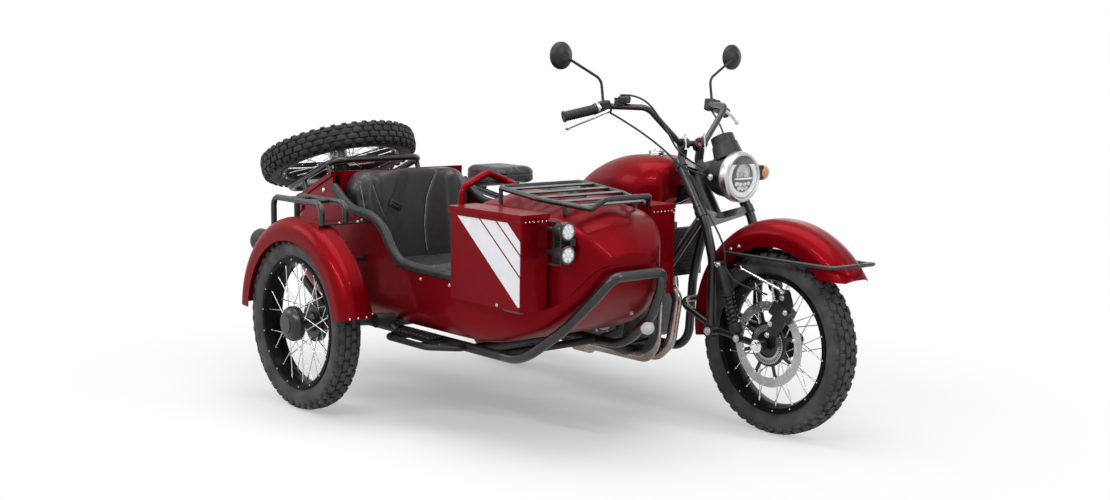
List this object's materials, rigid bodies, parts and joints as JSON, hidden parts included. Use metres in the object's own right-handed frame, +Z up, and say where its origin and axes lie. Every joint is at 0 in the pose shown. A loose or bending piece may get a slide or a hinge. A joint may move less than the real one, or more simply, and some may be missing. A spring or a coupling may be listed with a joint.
{
  "type": "sidecar motorcycle",
  "caption": "Retro motorcycle with a boat-shaped sidecar, leading-link fork, spoked wheels, padded cockpit, side toolboxes, luggage rack and a spare wheel over the trunk lid",
  "frame": {"origin": "middle of the bounding box, on the ground", "axes": "+X forward, +Y to the rider's left, +Z up"},
  "size_m": [2.5511, 1.6839, 1.349],
  "materials": {
    "tyre": "matt black rubber",
    "wheel_chrome": "bright plated rim and spokes",
    "black_paint": "black, half gloss",
    "dark_steel": "dark, half matt",
    "red_paint": "deep red, high gloss",
    "chrome": "bright plated",
    "black_plastic": "satin black",
    "red_plastic": "clear red lens",
    "aluminium": "cast, half matt",
    "leather": "black, soft grain",
    "black_rubber": "satin black"
  },
  "bodies": {
    "chassis": {"motorcycle_frame": "black_paint", "engine": "aluminium", "radiator": "black_plastic", "exhaust": "chrome", "fuel_tank": "red_paint", "rider_saddle": "leather", "pillion_seat": "leather", "rear_fender": "red_paint", "rear_suspension": "dark_steel", "side_covers": "red_paint", "tail_lamp": "red_plastic", "foot_controls": "dark_steel", "sidecar_tub": "red_paint", "sidecar_nose": "red_paint", "near_toolbox": "red_paint", "far_toolbox": "red_paint", "cockpit_edging": "black_rubber", "seat_back": "leather", "seat_cushion": "leather", "grab_handle": "red_paint", "bumper": "black_paint", "step": "black_paint", "sidecar_suspension": "dark_steel", "sidecar_fender": "red_paint", "fender_rail": "black_paint", "spot_lamps": "black_plastic", "sidecar_rear_lamp": "black_plastic", "luggage_rack": "black_paint", "sidecar_chassis": "black_paint"},
    "fork": {"fork_legs": "black_paint", "leading_link": "black_paint", "front_shocks": "dark_steel", "front_fender": "red_paint", "fender_guard": "black_paint", "headlamp": "black_plastic", "handlebar": "black_paint", "hand_levers": "aluminium", "control_cables": "black_rubber", "mirrors": "black_plastic", "front_brake": "black_paint"},
    "front_wheel": {"front_tyre": "tyre", "front_wheel": "wheel_chrome"},
    "rear_wheel": {"rear_tyre": "tyre", "rear_wheel": "wheel_chrome"},
    "sidecar_wheel": {"sidecar_tyre": "tyre", "sidecar_wheel": "wheel_chrome"},
    "trunk_lid": {"trunk_lid": "red_paint", "spare_carrier": "black_paint", "spare_tyre": "tyre", "spare_wheel": "wheel_chrome"},
    "near_box_lid": {"near_toolbox_lid": "red_paint"},
    "far_box_lid": {"far_toolbox_lid": "red_paint"}
  },
  "joints": [
    {"name": "steering", "type": "hinge", "parent": "chassis", "child": "fork", "pos_m": [0.4751, 0.353, 0.8905], "axis": [-0.5519, 0, 0.8339], "range_deg": [-28, 28]},
    {"name": "front_wheel_spin", "type": "hinge", "parent": "fork", "child": "front_wheel", "pos_m": [0.9006, 0.353, 0.32], "axis": [0, 1, 0], "continuous": true},
    {"name": "rear_wheel_spin", "type": "hinge", "parent": "chassis", "child": "rear_wheel", "pos_m": [-0.6094, 0.353, 0.32], "axis": [0, 1, 0], "continuous": true},
    {"name": "sidecar_wheel_spin", "type": "hinge", "parent": "chassis", "child": "sidecar_wheel", "pos_m": [-0.4044, -0.759, 0.32], "axis": [0, 1, 0], "continuous": true},
    {"name": "trunk_lid_hinge", "type": "hinge", "parent": "chassis", "child": "trunk_lid", "pos_m": [-0.5254, -0.258, 0.858], "axis": [0, 1, 0], "range_deg": [0, 55]},
    {"name": "near_box_lid_hinge", "type": "hinge", "parent": "chassis", "child": "near_box_lid", "pos_m": [0.4606, -0.483, 0.8], "axis": [-1, 0, 0], "range_deg": [0, 80]},
    {"name": "far_box_lid_hinge", "type": "hinge", "parent": "chassis", "child": "far_box_lid", "pos_m": [0.4606, -0.033, 0.8], "axis": [1, 0, 0], "range_deg": [0, 80]}
  ]
}
